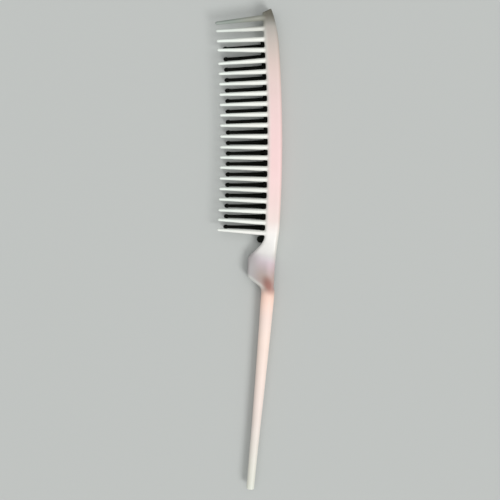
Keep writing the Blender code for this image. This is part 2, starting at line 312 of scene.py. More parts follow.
# the widened plate between the last tooth and the tail
thumbRest = {
    "drop": 0.0105,              # from the neck point, where the root line ends, to the full width
    "width": 0.0140,
    "thickness": 0.0052,
    "edgeLength": 0.0090,
    "edgeLean": 0.0004,
    "corner": 0.0008,
    "edge": 0.0010,              # the rounding of its rims
    "neckEdge": 0.0014,          # and along the neck curve
    "neckEdgeEase": 0.0040,      # the length over which one radius goes over into the next
    "neckSag": 0.0009,           # how far the front face falls away towards that curve
    "neckSagWidth": 0.0050,
    "neckSagStart": 0.0035,
    "neckSagAbove": 0.6,         # the rim lies above this share of the spine's thickness
    "frontSlopeStart": -0.0045,  # where the faces draw in, down from the neck point
    "frontSlope": 0.0135,
    "rearSlopeStart": 0.0060,
    "rearSlope": 0.0100,
    "neckPull": (0.05, 0.46, 0.19),  # how the neck curve bends, as shares of the drop
    "curveSteps": 16,
    "edgeSteps": 8,
    "cornerSteps": 4,
    "slantEnd": (-0.80, -0.145),  # from the tail's top, as shares of the tail's width
    "slantPull": 0.0016,
    "filletEnd": (-0.59, -0.68),
    "filletPull": (-0.0001, 0.0020),
    "waistRise": 0.0024,         # where the outer side starts to draw in, above the neck point
    "waistPull": (0.042, 0.28, 0.32),  # how it bends there, as shares of its length
    "waistEnd": (0.355, 0.02),
    "waistSteps": 40,
    "plateEnd": (0.20, 0.78),    # half its width, and its place below the tail's top
}

# the long hollow for the thumb, its places measured down from the neck point
scoop = {
    "fallStart": 0.0010,
    "fall": 0.0085,
    "riseStart": 0.0120,
    "rise": 0.0130,
    "depth": 0.0010,
    "leftLower": 0.0004,         # how much lower the side towards the teeth lies
    "filletStart": 0.0215,       # the front's fall onto the tail's left flank
    "filletLength": 0.0050,
    "filletFall": 0.0014,
}

# the long tail, from inside the plate down to its tip
tail = {
    "startDrop": 0.0226,         # its top: below the neck point, outward of the root line's crown
    "startOutward": 0.0008,
    "length": 0.0994,
    "lean": math.radians(5.24),
    "shoulder": 0.0040,
    "rootDiameter": 0.0066,
    "middleDiameter": 0.0044,
    "middleShare": 0.66,
    "tipDiameter": 0.0037,
    "tipRound": 0.0009,
    "tipSegments": 4,
    "flatness": 0.80,            # depth as a share of the width
    "bow": 0.00025,              # how far its middle lies outward of the line between its ends
    "shift": -0.00020,
    "steps": 6,
    "sides": 32,
    "shoulderSteps": 8,
    "shoulderEnd": math.radians(86),
}

# how the plate, the teeth and the tail melt into one skin
skin = {
    "voxel": 0.00032,
    "rounds": 6,
    "toothStart": 0.0012,        # out from here the teeth are drawn back onto their true shapes
    "toothFade": 0.0020,
    "tailStart": 0.0060,         # and the tail from this far below its top
    "tailFade": 0.0040,
    "drawnRounds": 2,
    "waistRounds": 24,
    "waistAbove": 0.0060,        # the reach of the waist's smoothing from the tail's top
    "waistBelow": 0.0090,
    "waistFade": 0.0040,
}

# the ends of the root line
headPlace = toothPlace(1) + spine["headMargin"]
neckPlace = toothPlace(layout["toothCount"]) - spine["neckMargin"]
headPoint = onArc(headPlace, 0)
neckPoint = onArc(neckPlace, 0)
tailTop = Vector((layout["crown"].x + tail["startOutward"], neckPoint.y - tail["startDrop"], 0))
plateEndY = tailTop.y - thumbRest["plateEnd"][1] * tail["rootDiameter"]


def outerX(y):
    return arcX(y, spine["width"], spine["outerArc"])


def fromTailTop(shares):
    # a place given as shares of the tail's width, outward and up
    return tailTop + Vector((*shares, 0)) * tail["rootDiameter"]


# the slanting lower edge of the thumb rest
wideY = neckPoint.y - thumbRest["drop"]
widePoint = Vector((outerX(wideY) - thumbRest["width"], wideY, 0))
slantCorner = widePoint - Vector((thumbRest["edgeLean"], thumbRest["edgeLength"], 0))
slantEnd = fromTailTop(thumbRest["slantEnd"])
filletEnd = fromTailTop(thumbRest["filletEnd"])


def headCorner():
    # the outer side's curve from the peak at the head end down to its arc
    lowY = headPoint.y + spine["headRise"] - spine["headCornerDrop"]
    low = Vector((outerX(lowY), lowY, 0))
    peak = Vector((low.x - spine["headCornerInset"], headPoint.y + spine["headRise"], 0))
    inShare, dropShare = spine["headCornerShares"]
    cornerX = low.x - spine["headCornerInset"] * inShare
    corner = Vector((cornerX, peak.y - spine["headCornerDrop"] * dropShare, 0))
    return [peak] + roundedCorner(peak, corner, low, spine["headCornerSteps"])


def neckSide():
    # the side towards the teeth: neck curve, thumb edge, corner and the diagonal down to the tail
    drop = thumbRest["drop"]
    sideShare, dropShare, riseShare = thumbRest["neckPull"]
    neckPull = neckPoint - Vector((sideShare, dropShare, 0)) * drop
    widePull = widePoint + Vector((0, riseShare * drop, 0))
    above = slantCorner + (widePoint - slantCorner).normalized() * thumbRest["corner"]
    below = slantCorner + (slantEnd - slantCorner).normalized() * thumbRest["corner"]
    slantPull = slantEnd + (slantEnd - below).normalized() * thumbRest["slantPull"]
    filletPull = filletEnd + Vector((*thumbRest["filletPull"], 0))
    endX = tailTop.x - thumbRest["plateEnd"][0] * tail["rootDiameter"]
    points = [neckPoint]
    points += cubicPoints(neckPoint, neckPull, widePull, widePoint, thumbRest["curveSteps"])
    points += straightPoints(widePoint, above, thumbRest["edgeSteps"])
    points += roundedCorner(above, slantCorner, below, thumbRest["cornerSteps"])
    points += straightPoints(below, slantEnd, thumbRest["edgeSteps"])
    points += cubicPoints(slantEnd, slantPull, filletPull, filletEnd, thumbRest["edgeSteps"])
    points.append(Vector((endX, plateEndY, 0)))
    return points


def waistSide():
    # the outer side below the neck, drawn in to the waist where the tail starts
    waist = fromTailTop(thumbRest["waistEnd"])
    startY = neckPoint.y + thumbRest["waistRise"]
    length = startY - waist.y
    sideShare, dropShare, riseShare = thumbRest["waistPull"]
    start = Vector((outerX(startY), startY, 0))
    startPull = start - Vector((sideShare, dropShare, 0)) * length
    endPull = waist + Vector((0, riseShare * length, 0))
    endX = tailTop.x + thumbRest["plateEnd"][0] * tail["rootDiameter"]
    points = [start] + cubicPoints(start, startPull, endPull, waist, thumbRest["waistSteps"])
    points.append(Vector((endX, plateEndY, 0)))
    return points


leftSide = neckSide()
rightSide = waistSide()


def rightOf(y):
    # the outer side's point at height y, all the way down
    if y >= rightSide[0].y:
        return Vector((outerX(y), y, 0))
    return alongSide(rightSide, y)


def plateRows():
    # left and right points of each row, from the head end down into the tail's shoulder
    rows = []
    corner = headCorner()
    lowY = corner[-1].y
    for step, right in enumerate(corner):
        y = headPoint.y + (lowY - headPoint.y) * step / (len(corner) - 1)
        rows.append((Vector((rootX(y), y, 0)), right))
    for step in range(1, spine["rows"]):
        y = lowY + (neckPoint.y - lowY) * step / spine["rows"]
        rows.append((Vector((rootX(y), y, 0)), rightOf(y)))
    for left in leftSide:
        rows.append((left, rightOf(left.y)))
    return rows


def frontDrop(y, leftShare):
    # how far the front face lies below the spine's full thickness
    # leftShare is 1 on the teeth's side and 0 on the outer side
    inset = (spine["thickness"] - thumbRest["thickness"]) / 2
    toHead = headPoint.y + spine["headRise"] - y
    atHead = spine["headSlope"] * (1 - eased(toHead / spine["headSlopeLength"]))
    drop = neckPoint.y - y
    slope = inset * eased((drop - thumbRest["frontSlopeStart"]) / thumbRest["frontSlope"])
    fall = eased((drop - scoop["fallStart"]) / scoop["fall"])
    rise = eased((drop - scoop["riseStart"]) / scoop["rise"])
    hollow = (scoop["depth"] + scoop["leftLower"] * leftShare) * (fall - rise)
    fillet = scoop["filletFall"] * eased((drop - scoop["filletStart"]) / scoop["filletLength"])
    return atHead + slope + hollow + fillet * leftShare


def rearRise(y):
    # how far the rear face lies above the table
    inset = (spine["thickness"] - thumbRest["thickness"]) / 2
    return inset * eased((neckPoint.y - y - thumbRest["rearSlopeStart"]) / thumbRest["rearSlope"])


def shapeDepth(piece, rows):
    # thins the plate at the neck from both faces, and lowers the front at the head end
    toEdit(piece)
    half = spine["thickness"] / 2
    for ends in rows:
        y = (ends[0].y + ends[1].y) / 2
        for place, leftShare in zip(ends, (1, 0)):
            for front, move in ((False, rearRise(y)), (True, -frontDrop(y, leftShare))):
                def onFace(v):
                    return (v.co.z > half) == front and (v.co.xy - place.xy).length < samePlace

                if abs(move) > noMove:
                    choose(piece, "VERT", onFace)
                    bpy.ops.transform.translate(value=(0, 0, move))
    toObject()


def roundEdges(piece, rows):
    # the bevel's weight on an edge is its radius as a share of the widest one
    widest = max(spine["outerEdge"], thumbRest["neckEdge"])
    half = spine["thickness"] / 2
    headY = rows[0][0].y

    def rimRadius(edge):
        # only the rims of the two faces: not the cross edges and not the upright ones
        a, b = edge.verts[0].co, edge.verts[1].co
        x, y = (a.x + b.x) / 2, (a.y + b.y) / 2
        sameFace = (a.z > half) == (b.z > half)
        if not sameFace or edge.calc_face_angle(0) < math.radians(spine["rimAngle"]):
            return 0
        if y < plateEndY + samePlace:
            return 0
        if a.z <= half:
            return spine["rearEdge"]
        if min(a.y, b.y) > headY - samePlace:
            return spine["headEdge"]
        if x > (alongSide(leftSide, y).x + rightOf(y).x) / 2:
            down = eased((rightSide[0].y - y) / (rightSide[0].y - tailTop.y))
            return spine["outerEdge"] + (thumbRest["edge"] - spine["outerEdge"]) * down
        drop, ease = neckPoint.y - y, thumbRest["neckEdgeEase"]
        atRoot, atNeck, atRest = spine["rootEdge"], thumbRest["neckEdge"], thumbRest["edge"]
        broader = (atNeck - atRoot) * eased(drop / ease)
        narrower = (atRest - atNeck) * eased((drop - thumbRest["drop"]) / ease)
        return atRoot + broader + narrower

    toEdit(piece)
    shape = bmesh.from_edit_mesh(piece.data)
    radii = sorted({round(rimRadius(edge), 5) for edge in shape.edges} - {0})
    for radius in radii:
        choose(piece, "EDGE", lambda e: round(rimRadius(e), 5) == radius)
        bpy.ops.transform.edge_bevelweight(value=radius / widest)
    toObject()
    bevel = piece.modifiers.new("Edges", "BEVEL")
    bevel.limit_method = "WEIGHT"
    bevel.width = widest
    bevel.segments = spine["edgeSegments"]
    bevel.use_clamp_overlap = False
    applyModifiers(piece)


def fused(piece):
    # melts solids that run into each other into one skin, with small fillets where they meet
    melt = piece.modifiers.new("Melt", "REMESH")
    melt.mode = "VOXEL"
    melt.voxel_size = skin["voxel"]
    softened(piece, skin["rounds"])
    applyModifiers(piece)


def drawnOnto(piece, guide):
    # draws the fused teeth and tail back onto their true shapes, but leaves the fillets
    def drawnAt(place):
        fromRoot = rootX(place.y) - place.x
        inTooth = eased((fromRoot - skin["toothStart"]) / skin["toothFade"])
        inTail = eased((tailTop.y - skin["tailStart"] - place.y) / skin["tailFade"])
        return inTooth if place.y > neckPoint.y else inTail

    weighted(piece, "drawn", drawnAt)
    draw = piece.modifiers.new("Draw", "SHRINKWRAP")
    draw.target = guide
    draw.vertex_group = "drawn"
    softened(piece, skin["drawnRounds"], "drawn")
    applyModifiers(piece)
    bpy.data.objects.remove(guide, do_unlink=True)


def softenWaist(piece):
    # evens out the crease where the tail leaves the thumb rest
    def nearWaist(place):
        up = place.y - tailTop.y
        fadeIn = eased((up + skin["waistBelow"]) / skin["waistFade"])
        return fadeIn * eased((skin["waistAbove"] - up) / skin["waistAbove"])

    weighted(piece, "waist", nearWaist)
    softened(piece, skin["waistRounds"], "waist")
    applyModifiers(piece)
    piece.vertex_groups.clear()


def sagAtNeck(piece):
    # pulls the rim of the neck curve down, and the face beside it with it
    top, low = neckPoint.y - thumbRest["neckSagStart"], neckPoint.y - thumbRest["drop"]
    frontZ = spine["thickness"] * thumbRest["neckSagAbove"]

    def onRim(v):
        if not low < v.co.y < top or v.co.z < frontZ:
            return False
        return v.co.x - alongSide(leftSide, v.co.y).x < thumbRest["neckEdge"] / 2

    toEdit(piece)
    choose(piece, "VERT", onRim)
    bpy.ops.transform.translate(
        value=(0, 0, -thumbRest["neckSag"]),
        use_proportional_edit=True,
        proportional_edit_falloff="SHARP",
        proportional_size=thumbRest["neckSagWidth"],
    )
    toObject()


def buildPlate():
    rows = plateRows()
    plate = stripOfRows("plate", rows)
    thickened(plate, 0, spine["thickness"])
    shapeDepth(plate, rows)
    roundEdges(plate, rows)
    return plate


def buildTail():
    # a cone at the tip, extruded ring by ring along a slight bow and closed by a round shoulder
    axis = Vector((math.sin(tail["lean"]), math.cos(tail["lean"]), 0))
    across = Vector((axis.y, -axis.x, 0))
    foot = tailTop - axis * tail["length"] + Vector((0, 0, spine["thickness"] / 2))
    lower = tail["length"] * (1 - tail["middleShare"])
    straight = tail["length"] - tail["shoulder"]

    def diameterAt(along):
        tip, middle, root = tail["tipDiameter"], tail["middleDiameter"], tail["rootDiameter"]
        if along < lower:
            return tip + (middle - tip) * along / lower
        return middle + (root - middle) * (along - lower) / (straight - lower)

    def centreAt(along):
        bow = tail["bow"] * (1 - (2 * along / tail["length"] - 1) ** 2)
        return foot + axis * along + across * (bow + tail["shift"])

    first = straight / tail["steps"]
    bpy.ops.object.select_all(action="DESELECT")
    bpy.ops.mesh.primitive_cone_add(
        vertices=tail["sides"],
        radius1=tail["tipDiameter"] / 2,
        radius2=diameterAt(first) / 2,
        depth=first,
        location=(centreAt(0) + centreAt(first)) / 2,
        rotation=(-math.pi / 2, 0, -tail["lean"]),
    )
    piece = named("tail")
    applyPlace(piece)
    toEdit(piece)
    choose(piece, "FACE", lambda f: f.normal.dot(axis) < -facing)
    bpy.ops.mesh.bevel(offset=tail["tipRound"], segments=tail["tipSegments"], affect="EDGES")
    choose(piece, "FACE", lambda f: f.normal.dot(axis) > facing)
    stations = [(first * step, diameterAt(first * step)) for step in range(2, tail["steps"] + 1)]
    for step in range(1, tail["shoulderSteps"] + 1):
        angle = tail["shoulderEnd"] * step / tail["shoulderSteps"]
        reach = straight + tail["shoulder"] * math.sin(angle)
        stations.append((reach, tail["rootDiameter"] * math.cos(angle)))
    along, size = first, diameterAt(first)
    for newAlong, newSize in stations:
        move = centreAt(newAlong) - centreAt(along)
        bpy.ops.mesh.extrude_region_move(TRANSFORM_OT_translate={"value": move})
        bpy.ops.transform.resize(value=(newSize / size,) * 3, center_override=centreAt(newAlong))
        along, size = newAlong, newSize
    bpy.ops.mesh.select_all(action="SELECT")
    bpy.ops.transform.resize(value=(1, 1, tail["flatness"]), center_override=foot)
    toObject()
    return piece


# the long pale teeth
frontTooth = {
    "reach": 0.02285,
    "axisHeight": 0.0071,
    "depthToThickness": 1.14,
    "embed": 0.0012,             # how far each tooth starts inside the spine
    # distance from the root line, and thickness there
    "stations": (
        (0.0, 0.0026),
        (0.0004, 0.00242),
        (0.0010, 0.00237),
        (0.0035, 0.00231),
        (0.0080, 0.00210),
        (0.0126, 0.00186),
        (0.0172, 0.00162),
    ),
    "tipThickness": 0.00138,
    "tipSteps": 4,
    "tipEnd": math.radians(170),
    "sides": 32,
    # the round section is drawn in between its ridges: by how much at most, and the share of
    # that from one slant to another, where 0 lies on a ridge and 1 midway between two
    "drawIn": 0.12,
    "drawShares": ((0.3, 0.5, 0.2), (0.5, 0.85, 0.5), (0.85, 0.95, 0.85), (0.95, 1.1, 1.0)),
    # teeth that stand a little out of line, in degrees towards the tail
    "lean": {1: 2.0, 2: -1.2, 3: -1.6, 4: -3.3, 5: 1.0, 15: -0.5, 19: 0.9, 20: -0.5, 21: -0.5},
    # and those whose roots sit a little off the even pitch, in metres towards the head
    "shift": {
        1: -0.00006, 5: 0.00020, 9: 0.00014, 10: 0.00018,
        11: 0.00022, 13: -0.00011, 19: 0.00016, 21: 0.00020,
    },
    "endWidth": 1.18,            # the first tooth is a little wider
}


def startTooth(name, sides, thickness, embed):
    # a disc across the root, from which the tooth is extruded along -X
    bpy.ops.object.select_all(action="DESELECT")
    bpy.ops.mesh.primitive_circle_add(
        vertices=sides,
        radius=thickness / 2,
        fill_type="NGON",
        location=(embed, 0, 0),
        rotation=(0, -math.pi / 2, 0),
    )
    piece = named(name)
    applyPlace(piece)
    toEdit(piece)
    bpy.ops.mesh.select_all(action="SELECT")
    return piece


def growTooth(start, stations):
    # extrudes the selected end face station by station: (distance, thickness)
    x, thickness = start
    for newX, newThickness in stations:
        bpy.ops.mesh.extrude_region_move(TRANSFORM_OT_translate={"value": (x - newX, 0, 0)})
        ratio = newThickness / thickness
        bpy.ops.transform.resize(value=(1, ratio, ratio), center_override=(-newX, 0, 0))
        x, thickness = newX, newThickness
    toObject()


def ballStations(centre, radius, stretch, firstAngle, lastAngle, steps):
    # rings of a ball, angles measured from its root side
    stations = []
    for step in range(steps + 1):
        angle = firstAngle + (lastAngle - firstAngle) * step / steps
        distance = centre - radius * stretch * math.cos(angle)
        stations.append((distance, 2 * radius * math.sin(angle)))
    return stations


def buildFrontTooth():
    first = frontTooth["stations"][0][1]
    depth = frontTooth["depthToThickness"]
    piece = startTooth("frontTooth", frontTooth["sides"], first, frontTooth["embed"])
    bpy.ops.transform.resize(value=(1, 1, depth), center_override=(0, 0, 0))
    for low, high, share in frontTooth["drawShares"]:
        # soft ridges stay along the front, the rear and both flanks
        def onSlant(v):
            return low < abs(math.sin(2 * math.atan2(v.co.z / depth, v.co.y))) < high

        choose(piece, "VERT", onSlant)
        size = 1 - frontTooth["drawIn"] * share
        bpy.ops.transform.resize(value=(1, size, size), center_override=(0, 0, 0))
    choose(piece, "FACE", lambda f: True)
    tip, end = frontTooth["tipThickness"] / 2, frontTooth["tipEnd"]
    centre = frontTooth["reach"] - tip
    stations = list(frontTooth["stations"])
    stations += ballStations(centre, tip, 1, math.pi / 2, end, frontTooth["tipSteps"])
    growTooth((-frontTooth["embed"], first), stations)
    pointOut(piece)
    return piece


def copiesOfTooth(model, places, height):
    # each place is (distance along the root line, outward move, extra lean, width)
    copies = []
    for distance, outward, lean, width in places:
        copy = ownCopy(model)
        place = onArc(distance, outward)
        copy.location = (place.x, place.y, height)
        copy.rotation_euler = (0, 0, distance / layout["rootArc"] + lean)
        copy.scale = (1, width, 1)
        applyPlace(copy)
        copies.append(copy)
    bpy.data.objects.remove(model, do_unlink=True)
    return copies


# the black backbone in the rear of the spine
blackStrip = {
    "height": 0.0040,
    "proud": 0.0018,             # beyond the root line, towards the teeth
    "inset": 0.0044,             # how deep it sits in the spine
    "headMargin": 0.0024,        # beyond the first rear tooth, and beyond the last one
    "neckMargin": 0.00712,
    "nubProud": 0.0036,
    "nubRadius": 0.00172,
    "nubSides": 48,
    "rows": 40,
    "clearance": 0.0003,         # of the channel in the pale comb
    "cutBelow": 0.002,           # how far the tool that cuts the channel reaches below the comb
    "edge": 0.00025,
    "edgeAngle": 50,
    "edgeSegments": 3,
    "firstGap": 3,               # the gap of the front row that holds the first rear tooth
}

# the shorter black teeth, each with a ball at its tip
rearTooth = {
    "reach": 0.0202,
    "axisHeight": 0.0020,
    "embed": 0.0010,
    "shift": 0.00026,            # towards the head, from the middles of the gaps
    "lastLean": 2.1,             # degrees towards the tail at the last tooth, none at the first
    "neckThickness": 0.00160,
    "ballDiameter": 0.00215,
    "ballStretch": 1.2,
    "ballSteps": 8,
    "ballEnd": math.radians(172),
    # distance from the backbone, and thickness there
    "stations": (
        (0.0, 0.0025),
        (0.0003, 0.00228),
        (0.0008, 0.00218),
        (0.0055, 0.00189),
        (0.0118, 0.00164),
    ),
    "sides": 16,
}


def rearToothPlace(gap):
    return (toothPlace(gap) + toothPlace(gap + 1)) / 2


def buildBackbone(name, growth, low, high):
    # the band along the root line and the round nub at its lower end, both grown all round
    head = rearToothPlace(blackStrip["firstGap"]) + blackStrip["headMargin"] + growth
    neck = rearToothPlace(layout["toothCount"] - 1) - blackStrip["neckMargin"] - growth
    proud, inset = blackStrip["proud"] + growth, blackStrip["inset"] + growth
    rows = []
    for step in range(blackStrip["rows"] + 1):
        distance = head + (neck - head) * step / blackStrip["rows"]
        rows.append((onArc(distance, -proud), onArc(distance, inset)))
    band = stripOfRows(name, rows)
    thickened(band, low, high)
    radius = blackStrip["nubRadius"] + growth
    place = onArc(neck + radius, radius - blackStrip["nubProud"] - growth)
    place.z = (low + high) / 2
    bpy.ops.object.select_all(action="DESELECT")
    bpy.ops.mesh.primitive_cylinder_add(
        vertices=blackStrip["nubSides"],
        radius=radius,
        depth=high - low,
        location=place,
    )
    end = named(name + "Nub")
    applyPlace(end)
    return band, end


def bevelled(piece):
    edges = piece.modifiers.new("Edges", "BEVEL")
    edges.limit_method = "ANGLE"
    edges.angle_limit = math.radians(blackStrip["edgeAngle"])
    edges.width = blackStrip["edge"]
    edges.segments = blackStrip["edgeSegments"]
    applyModifiers(piece)


def buildRearTooth():
    first = rearTooth["stations"][0][1]
    piece = startTooth("rearTooth", rearTooth["sides"], first, rearTooth["embed"])
    ball = rearTooth["ballDiameter"] / 2
    stretch = rearTooth["ballStretch"]
    length = rearTooth["reach"] - blackStrip["proud"]
    neckAngle = math.asin(rearTooth["neckThickness"] / 2 / ball)
    centre, end = length - ball * stretch, rearTooth["ballEnd"]
    stations = list(rearTooth["stations"])
    stations += ballStations(centre, ball, stretch, neckAngle, end, rearTooth["ballSteps"])
    growTooth((-rearTooth["embed"], first), stations)
    pointOut(piece)
    return piece


def newMaterial(name):
    material = bpy.data.materials.new(name)
    material.use_nodes = True
    return material, material.node_tree


def fill(tree, socket, value):
    # sets a plain value on a socket, or links it
    if isinstance(value, (int, float)):
        socket.default_value = value
    elif isinstance(value, tuple):
        socket.default_value = (*value, 1) if len(socket.default_value) == 4 else value
    else:
        tree.links.new(value, socket)


def mathNode(tree, operation, *values):
    node = tree.nodes.new("ShaderNodeMath")
    node.operation = operation
    for socket, value in zip(node.inputs, values):
        fill(tree, socket, value)
    return node.outputs[0]


def times(tree, first, *others):
    for other in others:
        first = mathNode(tree, "MULTIPLY", first, other)
    return first


def rampNode(tree, factor, stops):
    node = tree.nodes.new("ShaderNodeValToRGB")
    ramp = node.color_ramp
    ramp.interpolation = "CARDINAL"
    while len(ramp.elements) > 1:
        ramp.elements.remove(ramp.elements[-1])
    for index, (position, colour) in enumerate(stops):
        element = ramp.elements[0] if index == 0 else ramp.elements.new(position)
        element.position = position
        element.color = (*colour, 1)
    tree.links.new(factor, node.inputs[0])
    return node.outputs[0]


def spread(tree, value, span, origin=0):
    # 0 at the start of the span, 1 at its end, and a smooth step between
    node = tree.nodes.new("ShaderNodeMapRange")
    node.interpolation_type = "SMOOTHSTEP"
    tree.links.new(value, node.inputs[0])
    node.inputs[1].default_value = origin + span[0]
    node.inputs[2].default_value = origin + span[1]
    return node.outputs[0]


def mixNode(tree, blend, factor, a, b):
    node = tree.nodes.new("ShaderNodeMix")
    node.data_type = "RGBA"
    node.blend_type = blend
    for socket, value in ((node.inputs[0], factor), (node.inputs[6], a), (node.inputs[7], b)):
        fill(tree, socket, value)
    return node.outputs[2]


noiseDetail = {"cloud": 3, "grain": 2}  # finer layers on top of the first


def noiseNode(tree, place, scale, detail):
    node = tree.nodes.new("ShaderNodeTexNoise")
    node.inputs["Scale"].default_value = scale
    node.inputs["Detail"].default_value = detail
    tree.links.new(place, node.inputs["Vector"])
    return node.outputs[0]


def splitNode(tree, vector):
    node = tree.nodes.new("ShaderNodeSeparateXYZ")
    tree.links.new(vector, node.inputs[0])
    return node.outputs


def spotNode(tree, place, shadeSpot):
    # 1 in the middle of an oval spot, 0 outside it
    offset = tree.nodes.new("ShaderNodeVectorMath")
    offset.operation = "SUBTRACT"
    tree.links.new(place, offset.inputs[0])
    offset.inputs[1].default_value = shadeSpot["centre"]
    x, y, z = splitNode(tree, offset.outputs[0])
    leaning = mathNode(tree, "MULTIPLY_ADD", y, shadeSpot["lean"], x)
    squares = []
    for part, radius in zip((leaning, y, z), shadeSpot["radii"]):
        scaled = mathNode(tree, "DIVIDE", part, radius)
        squares.append(times(tree, scaled, scaled))
    total = mathNode(tree, "ADD", mathNode(tree, "ADD", squares[0], squares[1]), squares[2])
    return spread(tree, mathNode(tree, "SQRT", total), shadeSpot["fade"])


def addFinish(tree, place, shader, cloud, plastic):
    # the gloss comes and goes with the clouds, and the grain lies over all
    gloss = tree.nodes.new("ShaderNodeMapRange")
    tree.links.new(cloud, gloss.inputs[0])
    gloss.inputs[3].default_value, gloss.inputs[4].default_value = plastic["roughness"]
    tree.links.new(gloss.outputs[0], shader.inputs["Roughness"])
    scale, strength, depth = plastic["grain"]
    bump = tree.nodes.new("ShaderNodeBump")
    bump.inputs["Strength"].default_value = strength
    bump.inputs["Distance"].default_value = depth
    tree.links.new(noiseNode(tree, place, scale, noiseDetail["grain"]), bump.inputs["Height"])
    tree.links.new(bump.outputs[0], shader.inputs["Normal"])


# A span runs from where a tone starts to where it is full, in metres: across or along the
# comb, or as its note says.
palePlastic = {
    "tooth": (0.94, 0.96, 0.90),
    # a painted green reflection makes the teeth greener towards their tips
    "toothTipGreenReflection": (0.89, 0.95, 0.89),
    "toTip": (0.004, -0.012),
    "shadedHeadTooth": (0.33, 0.33, 0.30),   # painted shade: the first tooth is greyer, at its root and at its tip
    # the first tooth's tip also carries the painted green reflection
    "shadedHeadToothTip": (0.28, 0.305, 0.29),
    # the span over which the painted shade on the first tooth comes in
    "toHead": (0.1026, 0.1093),
    "rootBend": 0.72,                  # how fast the root line falls back from its crown
    "intoSpine": (-0.0012, 0.0022),    # outward from the root line
    "belowTeeth": (0.005, -0.002),     # up from the neck point
    # the tones of the thumb rest, its painted shade among them, lie slantwise: how much per metre
    # outward, and from where
    "slant": 0.28,
    "slantMiddle": 0.0085,
    "slantUpper": (-0.003, -0.010),    # up from the neck point
    "slantLower": (-0.010, -0.003),    # up from the tail's top
    # painted shade: the outer edge of the spine is greyer
    "edge": (0.80, 0.78, 0.73),
    "edgeShadeShare": 0.6,
    "edgeShadeAcross": (0.0056, 0.0070),    # outward from the root line
    "edgeShadeAlong": (0.0085, 0.0140),
    # and painted shade on the outer edge of the neck, whose side is a bow: its innermost point, and
    # how fast it bends away
    "neckSide": (0.0121, -0.0160, 4.42),
    "neckShadeAcross": (0.0022, 0.0004),    # inward from that side
    "neckShadeBelow": (0.0140, 0.0085),
    "neckShadeAbove": (-0.0170, -0.0130),
    # painted light and shade on the thumb rest: lighter towards its outer side and greyer towards
    # its inner side
    "restUpper": (-0.004, -0.011),     # up from the neck point
    "restLower": (-0.005, 0),          # up from the tail's top
    "restOuterLight": (1.24, 1.17, 1.19),
    "outerAcross": (0.0074, 0.0100),
    "outerUpper": (-0.0085, -0.0160),  # up from the neck point
    "restInnerShade": (0.46, 0.435, 0.435),
    "innerAcross": (0.0068, 0.0005),
    # a painted highlight: the light rim along the slanting lower edge
    "rimHighlight": (0.60, 0.62, 0.58),
    "rimHighlightShare": 0.7,
    "rimAcross": (0.0022, 0.0006),     # inward from that edge
    # painted shade: a soft red-brown darkening where the tail starts; the lean moves its lower end
    # outward
    "shadeSpot": (0.66, 0.42, 0.37),
    "shadeSpotShape": {
        "centre": (0.0092, -0.0169, 0.0065),
        "radii": (0.0037, 0.0060, 0.0100),
        "lean": 0.22,
        "fade": (1.0, 0.15),
    },
    "coat": 0.10,
    "coatRoughness": 0.30,
    # faint clouds in the colour and in the gloss, and a very fine moulded grain
    "cloudScale": 90,
    "cloudTones": ((0.3, (0.965, 0.96, 0.955)), (0.7, (1, 1, 1))),
    "roughness": (0.31, 0.44),
    "grain": (1400, 0.12, 0.00004),
    # the tones down the middle, each with its place in metres up from the comb's own middle
    "core": (
        (-0.1130, (0.78, 0.79, 0.70)),  # the tail, from its tip
        (-0.0830, (0.87, 0.77, 0.71)),
        (-0.0470, (0.96, 0.79, 0.70)),
        (-0.0330, (0.95, 0.76, 0.68)),
        (-0.0225, (0.96, 0.68, 0.57)),
        (-0.0180, (0.50, 0.37, 0.33)),  # the thumb rest, darkened by painted shade
        (-0.0125, (0.46, 0.37, 0.34)),
        (-0.0060, (0.61, 0.53, 0.56)),
        (-0.0020, (0.78, 0.76, 0.74)),  # the neck
        (0.0075, (0.95, 0.91, 0.88)),
        (0.0135, (0.92, 0.77, 0.73)),   # the spine
        (0.0360, (0.96, 0.70, 0.69)),
        (0.0710, (0.88, 0.67, 0.65)),
        (0.0905, (0.71, 0.58, 0.53)),
        (0.1065, (0.44, 0.41, 0.37)),   # the head end, darkened by painted shade
        (0.1115, (0.15, 0.14, 0.11)),
    ),
}


